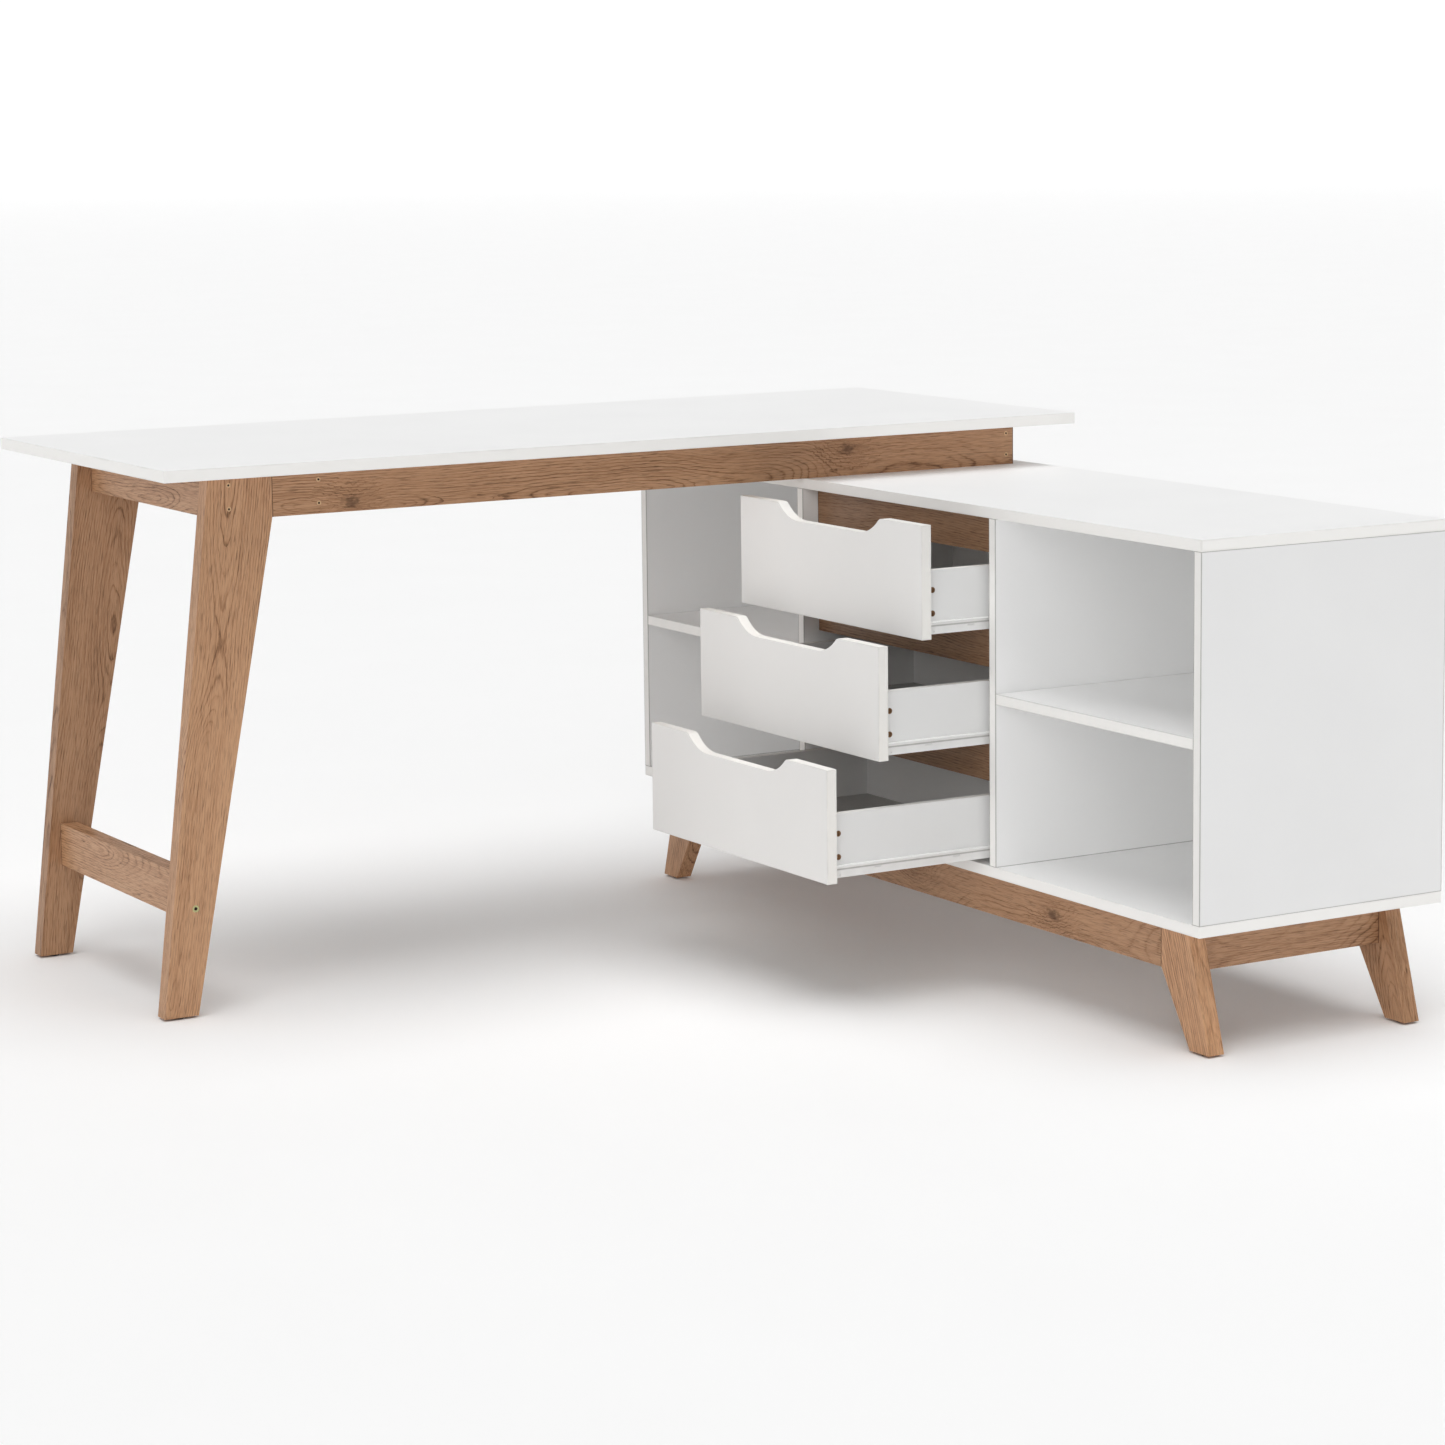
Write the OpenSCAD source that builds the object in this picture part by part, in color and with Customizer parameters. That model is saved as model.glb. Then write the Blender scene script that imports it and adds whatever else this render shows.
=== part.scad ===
// Corner desk: a desk top on one leg frame, carried at its other end by a low cabinet that
// stands across it. The cabinet has two open compartments with a shelf each and, between
// them, three drawers on roller runners. The drawers rest partly open.
// Millimetres, Z up. The origin is on the floor, under the middle of the outline.

/* [Desk] */
// Length of the desk top, along X
desk_length = 1460; // [1400:5:1500]
// Depth of the desk top, along Y
desk_depth = 605; // [580:5:640]
// Height of the desk top's upper face
desk_height = 750; // [730:1:780]
// Thickness of the desk top
top_thick = 16; // [14:1:18]
// Thickness of the wooden boards: legs, aprons and rails
board = 25; // [22:1:28]
// Height of the aprons and rails
rail_high = 61; // [50:1:70]
// Distance of the aprons' outer faces from the desk top's long edges
apron_inset = 58; // [40:1:80]
// Distance of the apron frame's end from the desk top's right end
apron_end_inset = 72; // [60:1:80]

/* [Desk legs] */
// Distance of a leg's outer edge from the desk top's left end, at the top
leg_top_inset = 86; // [70:1:100]
// Width of a leg just under the desk top
leg_top_wide = 92; // [80:1:100]
// Width of a leg at the floor
leg_foot_wide = 49; // [40:1:60]
// Height of the stretcher's lower edge above the floor
stretcher_low = 134; // [100:1:200]
// Distance of the stretcher's outer face from the desk top's left end
stretcher_inset = 37; // [34:1:42]

/* [Cabinet] */
// Depth of the cabinet, along X
cabinet_deep = 400; // [390:5:420]
// Distance of the cabinet's front from the desk top's left end
cabinet_from_left = 1020; // [1000:5:1040]
// How far the cabinet reaches out past the desk top's near edge
cabinet_reach = 888; // [860:1:920]
// Length of the cabinet, along Y
cabinet_long = 1434; // [1420:1:1450]
// Height of the cabinet's underside above the floor
cabinet_low = 163; // [150:1:180]
// Thickness of the cabinet's panels
panel = 15; // [15:1:16]
// Inside width of the drawer bay
bay_wide = 481; // [460:1:500]
// How far the drawer bay lies off the cabinet's middle, towards the near end
bay_shift = 5; // [0:1:10]
// Height of the shelves' upper faces above the floor
shelf_top = 419; // [380:1:450]
// Thickness of the back panels and of the drawer bottoms
thin_panel = 3; // [3:0.5:4]

/* [Cabinet base] */
// Distance of the base frame from the cabinet's front and back
base_inset = 25; // [15:1:40]
// Distance of a foot's outer edge from the cabinet's end
foot_inset = 12; // [8:1:20]
// Width of a foot at the floor
foot_wide = 40; // [30:1:48]
// Distance of a cabinet leg's outer edge from the cabinet's end, at the top
base_leg_top_inset = 58; // [50:1:62]
// Distance of a cabinet leg's upright inner edge from the cabinet's end
base_leg_inner = 113; // [105:1:125]
// Distance of the short base rails' outer faces from the cabinet's ends
short_rail_inset = 66; // [64:1:76]

/* [Drawers] */
// Gap round the drawer fronts
front_gap = 3.3; // [2:0.1:4]
// Width of the finger notch's straight bottom
notch_wide = 159; // [120:1:200]
// Depth of the finger notch
notch_deep = 23; // [18:1:26]
// Radius of the hollow curve at each side of the finger notch
notch_r = 72; // [40:1:90]
// Radius of the finger notch's rounded shoulders
notch_shoulder_r = 12; // [4:1:16]
// Thickness of the drawer sides and backs
drawer_board = 12; // [12:0.5:13]
// Height of the drawer sides
drawer_side_high = 86; // [80:1:90]
// Length of the drawer sides and of the runners
runner_long = 350; // [340:5:350]
// How far the top drawer stands open
top_open = 107; // [0:1:270]
// How far the middle drawer stands open
middle_open = 177; // [0:1:270]
// How far the bottom drawer stands open
bottom_open = 260; // [0:1:270]
// Height of the wooden rails across the drawer bay
bay_rail_high = 52; // [45:1:54]
// Distance of the bay rails' faces from the cabinet's front
bay_rail_inset = 26; // [22:1:40]

/* [Hidden] */
$fn = 48;
LIGHT = [0.93, 0.93, 0.92];
WOOD = [0.52, 0.36, 0.26];
STEEL = [0.75, 0.76, 0.78];
RUNNER = [0.95, 0.95, 0.95];
BRONZE = [0.28, 0.20, 0.15];
BRASS = [0.75, 0.68, 0.42];
DARK = [0.12, 0.12, 0.12];
GREY = [0.62, 0.64, 0.66];
PALE_WOOD = [0.82, 0.68, 0.48];
NYLON = [0.88, 0.88, 0.84];

// Desk outline
outline_deep = desk_depth + cabinet_reach;
desk_left = -desk_length / 2;
desk_right = desk_length / 2;
desk_far = outline_deep / 2;
desk_near = desk_far - desk_depth;
rail_top = desk_height - top_thick;
rail_low = rail_top - rail_high;
front_apron_y = desk_near + apron_inset;
back_apron_y = desk_far - apron_inset - board;
between_y = front_apron_y + board;
between_long = back_apron_y - between_y;
leg_inner_x = desk_left + leg_top_inset + leg_top_wide;
apron_end_x = desk_right - apron_end_inset;
leg_rail_inset = 103;
leg_rail_x = desk_left + leg_rail_inset;
stretcher_x = desk_left + stretcher_inset;
inner_rail_inset = 234.5;
inner_rail_x = desk_left + inner_rail_inset;
end_rail_x = apron_end_x - board;

// Fasteners. Each bolt or screw has the radii of its head, its shank and its socket
frame_bolt = [3.2, 2.2, 1.7];
stretcher_bolt = [4.8, 3, 2.6];
base_screw = [4, 2.5, 2.2];
glide_high = 3;
glide_r = 7;
nail_r = 2;
nail_long = 14;
bolt_head_high = 4;
bolt_long = 50;
socket_deep = 2.5;
bolt_spread = 32;
hole_clear = 0.1;
stretcher_bolt_z = 150;
dowel_r = 4;
dowel_long = 30;
dowel_in_panel = 10;
leg_dowel_spread = 32;
long_rail_dowel_spread = 28;
short_rail_dowel_spread = 36;
panel_dowel_inset = 60;
bracket_leg = 25;
bracket_wide = 20;
bracket_thick = 2;
bracket_hole = 15;
top_bracket_places_x = [420, 730, 1040];
top_bracket_inset = 200;
cabinet_bracket_insets = [110, 130];
small_screw_r = 2;
small_screw_long = 13;
small_head_r = 3.6;
small_head_high = 1.4;
base_screw_bore = 20;
base_screw_long = 52;
base_screw_inset = 260;
base_screw_clear = 0.5;
pin_r = 2.5;
pin_in = 8;
pin_out = 11;
pin_head_r = 3.5;
pin_bore_clear = 0.5;

// Cabinet: panels along Y, from the near end
cabinet_x = desk_left + cabinet_from_left;
cabinet_back = cabinet_x + cabinet_deep;
near_end = -outline_deep / 2;
far_end = near_end + cabinet_long;
near_hole = (cabinet_long - 4 * panel - bay_wide) / 2 - bay_shift;
far_hole = near_hole + 2 * bay_shift;
near_divider_y = near_end + panel + near_hole;
bay_y = near_divider_y + panel;
far_divider_y = bay_y + bay_wide;
far_side_y = far_end - panel;
inside_low = cabinet_low + panel;
inside_top = rail_low - panel;
inside_high = inside_top - inside_low;
shelf_clear = 0.5;
groove_clear = 0.1;
groove_deep = 5;
back_panel_inset = 11;
back_panel_x = cabinet_back - back_panel_inset;
shelf_deep = back_panel_x - cabinet_x - 2;
pin_inset = 50;
pin_places_x = [cabinet_x + pin_inset, back_panel_x - pin_inset];
upright_ys = [near_end, near_divider_y, far_divider_y, far_side_y];

// Cabinet base
base_rail_low = cabinet_low - rail_high;
front_base_x = cabinet_x + base_inset;
back_base_x = cabinet_back - base_inset - board;
base_end_ys = [near_end + short_rail_inset, far_end - short_rail_inset - board];

// Drawers, counted from the top: 0, 1, 2
opens = [top_open, middle_open, bottom_open];
front_high = (inside_high - 4 * front_gap) / 3;
drawer_pitch = front_high + front_gap;
front_wide = bay_wide - 2 * front_gap;
side_space = 12.5;
box_x = cabinet_x + panel;
box_wide = bay_wide - 2 * side_space;
side_lift = 6.9;
bottom_lift = 9;
drawer_bottom_clear = 0.1;
cam_from_front = 8;
cam_r = 4;
cam_proud = 0.5;
cam_deep = 9;
cam_bolt_r = 2;
cam_bolt_in_front = 10;
cam_drops = [27, 59];
back_screw_drops = [18, 52];
back_screw_r = 2;
back_screw_long = 40;
back_screw_head_r = 3;
back_screw_head_high = 3;

// Roller runners: u runs from the cabinet's divider, 0, to the drawer's side, side_space
sheet = 1.2;
channel_u = 10.5;
channel_drop = 1.7;
channel_setback = 1;
channel_high = 23;
slide_high = 17.5;
slide_lip = 9;
slide_wing_u = 3.5;
axle_r = 2.5;
axle_fit = 0.06;
rivet_r = 3.5;
rivet_high = 0.6;
roller_from_end = 12;
front_roller_r = 7.8;
front_roller_u = [2.0, 9.6];
front_rivet_u = 9.9;
front_roller_lift = 7.9;
rear_roller_r = 7.7;
rear_roller_u = [4.1, 10.9];
rear_rivet_u = 3.2;
rear_roller_lift = 7.7;
roller_wall = 1.6;
roller_hub = 1.8;
roller_dish = 0.8;
roller_groove_r = 1.1;
runner_hole_places = [40, 168, 296];
runner_hole_r = 2.2;
slide_hole_r = 1.3;
slide_hole_place = 10;
slide_hole_lift = 3.4;
slide_slot_places = [70, 198, 326];
slide_slot_long = 9;

// ---- Shared shapes -------------------------------------------------------------------

// A board from its lowest corner and its size
module slab(x, y, z, dx, dy, dz) {
    translate([x, y, z]) cube([dx, dy, dz]);
}

// A cylinder along Y, from y0 to y1
module rod_y(x, y0, y1, z, r) {
    translate([x, y0, z]) rotate([-90, 0, 0]) cylinder(r = r, h = y1 - y0);
}

// Places its child at the desk frame's bolt heads, the child's +Z pointing into the wood
module frame_bolt_places() {
    for (x = [leg_rail_x + board / 2, inner_rail_x + board / 2, end_rail_x + board / 2])
        for (z = [-bolt_spread / 2, bolt_spread / 2]) {
            translate([x, front_apron_y, rail_low + rail_high / 2 + z])
                rotate([-90, 0, 0]) children();
            translate([x, back_apron_y + board, rail_low + rail_high / 2 + z])
                rotate([90, 0, 0]) children();
        }
}

// Places its child at the two bolts of the leg stretcher
module stretcher_bolt_places() {
    x = stretcher_x + board / 2;
    translate([x, front_apron_y, stretcher_bolt_z]) rotate([-90, 0, 0]) children();
    translate([x, back_apron_y + board, stretcher_bolt_z]) rotate([90, 0, 0]) children();
}

// Socket-head bolt, its head flush at z = 0 and its shank along +Z
module bolt(radii, long) {
    difference() {
        union() {
            cylinder(r = radii[0], h = bolt_head_high);
            cylinder(r = radii[1], h = long);
        }
        translate([0, 0, -1]) cylinder(r = radii[2], h = 1 + socket_deep, $fn = 6);
    }
}

// The space that a bolt needs in the wood
module bolt_bore(radii) {
    translate([0, 0, -1]) cylinder(r = radii[0] + hole_clear, h = 1 + bolt_head_high);
    cylinder(r = radii[1] + hole_clear, h = bolt_long + 1);
}

// Dowels between each desk leg and its apron, along X
module leg_dowel_places() {
    for (y = [front_apron_y, back_apron_y], side = [-0.5, 0.5])
        translate([
            leg_inner_x, y + board / 2, rail_low + rail_high / 2 + side * leg_dowel_spread
        ])
            rotate([0, 90, 0]) children();
}

// Dowels between the cabinet's uprights and its top and bottom, along Z
module panel_dowel_places() {
    for (y = upright_ys, x = [cabinet_x + panel_dowel_inset, cabinet_back - panel_dowel_inset]) {
        translate([x, y + panel / 2, inside_low]) children();
        translate([x, y + panel / 2, inside_top]) rotate([180, 0, 0]) children();
    }
}

// Dowels between the cabinet's legs and the long base rails, along Y
module long_rail_dowel_places() {
    for (x = [front_base_x, back_base_x], side = [-0.5, 0.5]) {
        z = base_rail_low + rail_high / 2 + side * long_rail_dowel_spread;
        translate([x + board / 2, near_end + base_leg_inner, z]) rotate([90, 0, 0]) children();
        translate([x + board / 2, far_end - base_leg_inner, z]) rotate([-90, 0, 0]) children();
    }
}

// Dowels between the cabinet's legs and the short base rails, along X
module short_rail_dowel_places() {
    for (y = base_end_ys, side = [-0.5, 0.5]) {
        z = base_rail_low + rail_high / 2 + side * short_rail_dowel_spread;
        translate([front_base_x + board, y + board / 2, z]) rotate([0, -90, 0]) children();
        translate([back_base_x, y + board / 2, z]) rotate([0, 90, 0]) children();
    }
}

// A dowel across a joint face at z = 0: dowel_in_panel on the thinner side, -Z
module panel_dowel(clear = 0) {
    translate([0, 0, -dowel_in_panel - clear])
        cylinder(r = dowel_r + clear, h = dowel_long + 2 * clear);
}

// A dowel with the same length on each side of a joint face at z = 0
module board_dowel(clear = 0) {
    translate([0, 0, -dowel_long / 2 - clear])
        cylinder(r = dowel_r + clear, h = dowel_long + 2 * clear);
}

// Places its child at every angle bracket: the child's corner is at the origin, one flange
// up along +Z against a board at y < 0 and the other along +Y under or over a panel
module top_bracket_places() {
    for (along = top_bracket_places_x) {
        x = desk_left + along;
        translate([x, between_y, rail_top]) mirror([0, 0, 1]) children();
        translate([x, back_apron_y, rail_top]) mirror([0, 1, 0]) mirror([0, 0, 1]) children();
    }
    for (y = [desk_near + top_bracket_inset, desk_far - top_bracket_inset])
        translate([end_rail_x, y, rail_top]) rotate([0, 0, 90]) mirror([0, 0, 1]) children();
}

module cabinet_bracket_places() {
    for (x = [cabinet_x + cabinet_bracket_insets[0], cabinet_back - cabinet_bracket_insets[1]]) {
        translate([x, between_y, rail_low]) children();
        translate([x, back_apron_y, rail_low]) mirror([0, 1, 0]) children();
    }
}

// Angle bracket with one screw hole in each flange
module bracket() {
    difference() {
        union() {
            slab(-bracket_wide / 2, 0, 0, bracket_wide, bracket_thick, bracket_leg);
            slab(-bracket_wide / 2, 0, 0, bracket_wide, bracket_leg, bracket_thick);
        }
        bracket_screw_pair(hole_clear);
    }
}

// The two screws of a bracket: one into the board at y < 0, one into the panel at z < 0
module bracket_screw_pair(clear = 0) {
    translate([0, bracket_thick, bracket_hole]) rotate([90, 0, 0]) small_screw(clear);
    translate([0, bracket_hole, bracket_thick]) rotate([180, 0, 0]) small_screw(clear);
}

// Pan-head screw: its head stands on z = 0 and its shank runs along +Z
module small_screw(clear = 0) {
    difference() {
        union() {
            translate([0, 0, -small_head_high]) cylinder(r = small_head_r, h = small_head_high);
            cylinder(r = small_screw_r + clear, h = small_screw_long + clear);
        }
        translate([0, 0, -small_head_high - 1]) {
            slab(-2, -0.4, 0, 4, 0.8, 1.8);
            slab(-0.4, -2, 0, 0.8, 4, 1.8);
        }
    }
}

// Round glide under a foot, with its nail going up into the leg
module glide() {
    cylinder(r = glide_r, h = glide_high);
    cylinder(r = nail_r, h = glide_high + nail_long);
}

module glide_bore() {
    cylinder(r = nail_r + hole_clear, h = glide_high + nail_long + 1);
}

// ---- Desk ----------------------------------------------------------------------------

module desk_top() {
    color(LIGHT) difference() {
        slab(desk_left, desk_near, rail_top, desk_length, desk_depth, top_thick);
        top_bracket_places() bracket_screw_pair(hole_clear);
    }
}

// Long rail under the desk top, from the leg to the frame's end
module apron(y) {
    color(WOOD) difference() {
        slab(leg_inner_x, y, rail_low, apron_end_x - leg_inner_x, board, rail_high);
        frame_bolt_places() bolt_bore(frame_bolt);
        leg_dowel_places() board_dowel(hole_clear);
        top_bracket_places() bracket_screw_pair(hole_clear);
        cabinet_bracket_places() bracket_screw_pair(hole_clear);
    }
}

module front_apron() {
    apron(front_apron_y);
}

module back_apron() {
    apron(back_apron_y);
}

// Rail along Y between the two aprons or the two legs
module cross_rail(x, z) {
    color(WOOD) difference() {
        slab(x, between_y, z, board, between_long, rail_high);
        frame_bolt_places() bolt_bore(frame_bolt);
        stretcher_bolt_places() bolt_bore(stretcher_bolt);
        top_bracket_places() bracket_screw_pair(hole_clear);
    }
}

module inner_cross_rail() {
    cross_rail(inner_rail_x, rail_low);
}

module end_cross_rail() {
    cross_rail(end_rail_x, rail_low);
}

module leg_top_rail() {
    cross_rail(leg_rail_x, rail_low);
}

module leg_stretcher() {
    cross_rail(stretcher_x, stretcher_low);
}

// Tapered leg: its inner edge is upright beside the apron and then runs in to the foot
module desk_leg(y) {
    color(WOOD) difference() {
        translate([desk_left, y + board, 0]) rotate([90, 0, 0]) linear_extrude(board)
            polygon([
                [0, glide_high],
                [leg_foot_wide, glide_high],
                [leg_top_inset + leg_top_wide, rail_low],
                [leg_top_inset + leg_top_wide, rail_top],
                [leg_top_inset, rail_top]
            ]);
        frame_bolt_places() bolt_bore(frame_bolt);
        stretcher_bolt_places() bolt_bore(stretcher_bolt);
        leg_dowel_places() board_dowel(hole_clear);
        translate([desk_left + leg_foot_wide / 2, y + board / 2, 0]) glide_bore();
    }
}

module front_leg() {
    desk_leg(front_apron_y);
}

module back_leg() {
    desk_leg(back_apron_y);
}

module leg_glides() {
    color(DARK) for (y = [front_apron_y, back_apron_y])
        translate([desk_left + leg_foot_wide / 2, y + board / 2, 0]) glide();
}

module frame_bolts() {
    color(BRONZE) frame_bolt_places() bolt(frame_bolt, bolt_long);
}

module stretcher_bolts() {
    color(BRASS) stretcher_bolt_places() bolt(stretcher_bolt, bolt_long);
}

module fixing_brackets() {
    color(STEEL) {
        top_bracket_places() bracket();
        cabinet_bracket_places() bracket();
    }
}

module bracket_screws() {
    color(STEEL) {
        top_bracket_places() bracket_screw_pair();
        cabinet_bracket_places() bracket_screw_pair();
    }
}

module wood_dowels() {
    color(PALE_WOOD) {
        leg_dowel_places() board_dowel();
        panel_dowel_places() panel_dowel();
        long_rail_dowel_places() board_dowel();
        short_rail_dowel_places() board_dowel();
    }
}

// ---- Cabinet -------------------------------------------------------------------------

// The slots that the thin back panels sit in, one for each of the three openings
module back_panel_shapes(clear = 0) {
    for (span = [
        [near_end + panel, near_hole],
        [bay_y, bay_wide],
        [far_divider_y + panel, far_hole]
    ])
        slab(
            back_panel_x - clear,
            span[0] - groove_deep - clear,
            inside_low - groove_deep - clear,
            thin_panel + 2 * clear,
            span[1] + 2 * (groove_deep + clear),
            inside_high + 2 * (groove_deep + clear)
        );
}

// Horizontal panel over the whole length of the cabinet
module long_panel(z) {
    color(LIGHT) difference() {
        slab(cabinet_x, near_end, z, cabinet_deep, cabinet_long, panel);
        panel_dowel_places() panel_dowel(hole_clear);
        back_panel_shapes(groove_clear);
        base_screw_places() base_screw_bore();
        cabinet_bracket_places() bracket_screw_pair(hole_clear);
    }
}

module cabinet_top() {
    long_panel(inside_top);
}

module cabinet_bottom() {
    long_panel(cabinet_low);
}

// Upright panel between the cabinet's bottom and top
module upright(y) {
    color(LIGHT) difference() {
        slab(cabinet_x, y, inside_low, cabinet_deep, panel, inside_high);
        panel_dowel_places() panel_dowel(hole_clear);
        back_panel_shapes(groove_clear);
        shelf_pin_places() shelf_pin_bore();
    }
}

module near_side_panel() {
    upright(near_end);
}

module far_side_panel() {
    upright(far_side_y);
}

module near_divider() {
    upright(near_divider_y);
}

module far_divider() {
    upright(far_divider_y);
}

// Shelf between a side panel and a divider
module shelf(y, hole) {
    color(LIGHT) slab(
        cabinet_x, y + panel + shelf_clear, shelf_top - panel,
        shelf_deep, hole - 2 * shelf_clear, panel
    );
}

module near_shelf() {
    shelf(near_end, near_hole);
}

module far_shelf() {
    shelf(far_divider_y, far_hole);
}

// Places its child at each shelf pin, the child's +Z pointing into the panel
module shelf_pin_places() {
    for (x = pin_places_x) {
        for (y = [near_end + panel, far_divider_y + panel])
            translate([x, y, shelf_top - panel - pin_r]) rotate([90, 0, 0]) children();
        for (y = [near_divider_y, far_side_y])
            translate([x, y, shelf_top - panel - pin_r]) rotate([-90, 0, 0]) children();
    }
}

module shelf_pin_bore() {
    cylinder(r = pin_r + hole_clear, h = pin_in + pin_bore_clear);
}

// Pin with a thicker head whose top is cut flat for the shelf
module shelf_pins() {
    color(STEEL) difference() {
        shelf_pin_places() {
            cylinder(r = pin_r, h = pin_in);
            translate([0, 0, -pin_out]) cylinder(r = pin_head_r, h = pin_out);
        }
        slab(cabinet_x, near_end, shelf_top - panel, cabinet_deep, cabinet_long, panel);
    }
}

module back_panels() {
    color(LIGHT) back_panel_shapes();
}

// Wooden rails across the drawer bay, one behind the top of each drawer front
module bay_rails() {
    color(WOOD) for (i = [0:2])
        slab(
            cabinet_x + bay_rail_inset, bay_y, inside_top - bay_rail_high - i * drawer_pitch,
            panel, bay_wide, bay_rail_high
        );
}

// ---- Cabinet base --------------------------------------------------------------------

// Screws going up through the base rails into the cabinet's bottom, head down
module base_screw_places() {
    rail_ys = [near_end + base_screw_inset, (near_end + far_end) / 2, far_end - base_screw_inset];
    for (x = [front_base_x, back_base_x], y = rail_ys)
        translate([x + board / 2, y, base_rail_low]) children();
    for (y = base_end_ys)
        translate([(cabinet_x + cabinet_back) / 2, y + board / 2, base_rail_low]) children();
}

module base_screw_bore() {
    translate([0, 0, -1])
        cylinder(r = base_screw[0] + base_screw_clear, h = 1 + base_screw_bore);
    cylinder(
        r = base_screw[1] + hole_clear,
        h = base_screw_bore + base_screw_long + base_screw_clear
    );
}

module base_screws() {
    color(STEEL) base_screw_places() translate([0, 0, base_screw_bore - bolt_head_high])
        bolt(base_screw, bolt_head_high + base_screw_long);
}

module base_long_rails() {
    color(WOOD) difference() {
        for (x = [front_base_x, back_base_x])
            slab(
                x, near_end + base_leg_inner, base_rail_low,
                board, cabinet_long - 2 * base_leg_inner, rail_high
            );
        long_rail_dowel_places() board_dowel(hole_clear);
        base_screw_places() base_screw_bore();
    }
}

module base_short_rails() {
    color(WOOD) difference() {
        for (y = base_end_ys)
            slab(
                front_base_x + board, y, base_rail_low,
                back_base_x - front_base_x - board, board, rail_high
            );
        short_rail_dowel_places() board_dowel(hole_clear);
        base_screw_places() base_screw_bore();
    }
}

// Outline of a cabinet leg: y from the cabinet's end, z from the floor
module base_leg_outline() {
    polygon([
        [foot_inset, glide_high],
        [foot_inset + foot_wide, glide_high],
        [base_leg_inner, base_rail_low],
        [base_leg_inner, cabinet_low],
        [base_leg_top_inset, cabinet_low]
    ]);
}

// Leg at the near end of the cabinet
module near_leg(x) {
    color(WOOD) difference() {
        translate([x, near_end, 0]) rotate([90, 0, 90]) linear_extrude(board) base_leg_outline();
        long_rail_dowel_places() board_dowel(hole_clear);
        short_rail_dowel_places() board_dowel(hole_clear);
        cabinet_glide_places() glide_bore();
    }
}

// Leg at the far end of the cabinet
module far_leg(x) {
    color(WOOD) difference() {
        translate([x, far_end, 0]) mirror([0, 1, 0]) rotate([90, 0, 90])
            linear_extrude(board) base_leg_outline();
        long_rail_dowel_places() board_dowel(hole_clear);
        short_rail_dowel_places() board_dowel(hole_clear);
        cabinet_glide_places() glide_bore();
    }
}

module near_front_cabinet_leg() {
    near_leg(front_base_x);
}

module near_back_cabinet_leg() {
    near_leg(back_base_x);
}

module far_front_cabinet_leg() {
    far_leg(front_base_x);
}

module far_back_cabinet_leg() {
    far_leg(back_base_x);
}

module cabinet_glide_places() {
    for (x = [front_base_x, back_base_x]) {
        translate([x + board / 2, near_end + foot_inset + foot_wide / 2, 0]) children();
        translate([x + board / 2, far_end - foot_inset - foot_wide / 2, 0]) children();
    }
}

module cabinet_glides() {
    color(DARK) cabinet_glide_places() glide();
}

// ---- Drawers -------------------------------------------------------------------------

function front_low(i) = inside_top - front_gap - front_high - i * drawer_pitch;
function side_low(i) = front_low(i) + side_lift;
function slide_low(i) = side_low(i) - sheet;
function channel_low(i) = slide_low(i) - channel_drop;

// Half of the finger notch's edge: the hollow curve up from its bottom and the shoulder
function notch_half() =
    let (
        rise = notch_r - notch_deep + notch_shoulder_r,
        run = sqrt(pow(notch_r + notch_shoulder_r, 2) - rise * rise),
        turn = atan2(run, rise)
    )
    concat(
        [for (k = [0:12])
            [
                notch_wide / 2 + notch_r * sin(turn * k / 12),
                notch_r * (1 - cos(turn * k / 12)) - notch_deep
            ]],
        [for (k = [4:-1:0])
            [
                notch_wide / 2 + run - notch_shoulder_r * sin(turn * k / 5),
                notch_shoulder_r * (cos(turn * k / 5) - 1)
            ]]
    );

function reversed(points) = [for (k = [len(points) - 1:-1:0]) points[k]];

// Drawer front: a board with a curved finger notch in its top edge and a groove behind
module drawer_front(i) {
    half = notch_half();
    color(LIGHT) translate([-opens[i], 0, 0]) difference() {
        translate([cabinet_x, bay_y + bay_wide / 2, front_low(i) + front_high])
            rotate([90, 0, 90]) linear_extrude(panel) polygon(concat(
                [[-front_wide / 2, -front_high], [front_wide / 2, -front_high]],
                [[front_wide / 2, 0]],
                reversed(half),
                [for (p = half) [-p[0], p[1]]],
                [[-front_wide / 2, 0]]
            ));
        drawer_bottom_shape(i, drawer_bottom_clear);
        cam_places(i) cam_bolt(hole_clear);
    }
}

// Thin bottom, held in grooves of the front and the sides
module drawer_bottom_shape(i, clear = 0) {
    slab(
        box_x - groove_deep - clear,
        bay_y + side_space + drawer_board - groove_deep - clear,
        side_low(i) + bottom_lift - clear,
        runner_long + groove_deep + clear,
        box_wide - 2 * drawer_board + 2 * (groove_deep + clear),
        thin_panel + 2 * clear
    );
}

module drawer_sides(i) {
    color(LIGHT) translate([-opens[i], 0, 0]) difference() {
        for (y = [bay_y + side_space, far_divider_y - side_space - drawer_board])
            slab(box_x, y, side_low(i), runner_long, drawer_board, drawer_side_high);
        drawer_bottom_shape(i, drawer_bottom_clear);
        cam_places(i) {
            cam(hole_clear);
            cam_bolt(hole_clear);
        }
        back_screw_places(i) back_screw(hole_clear);
    }
}

module drawer_back(i) {
    low = side_low(i) + bottom_lift + thin_panel + drawer_bottom_clear;
    color(LIGHT) translate([-opens[i], 0, 0]) difference() {
        slab(
            box_x + runner_long - drawer_board,
            bay_y + side_space + drawer_board,
            low,
            drawer_board,
            box_wide - 2 * drawer_board,
            side_low(i) + drawer_side_high - low
        );
        back_screw_places(i) back_screw(hole_clear);
    }
}

module drawer_bottom(i) {
    color(GREY) translate([-opens[i], 0, 0]) drawer_bottom_shape(i);
}

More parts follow.
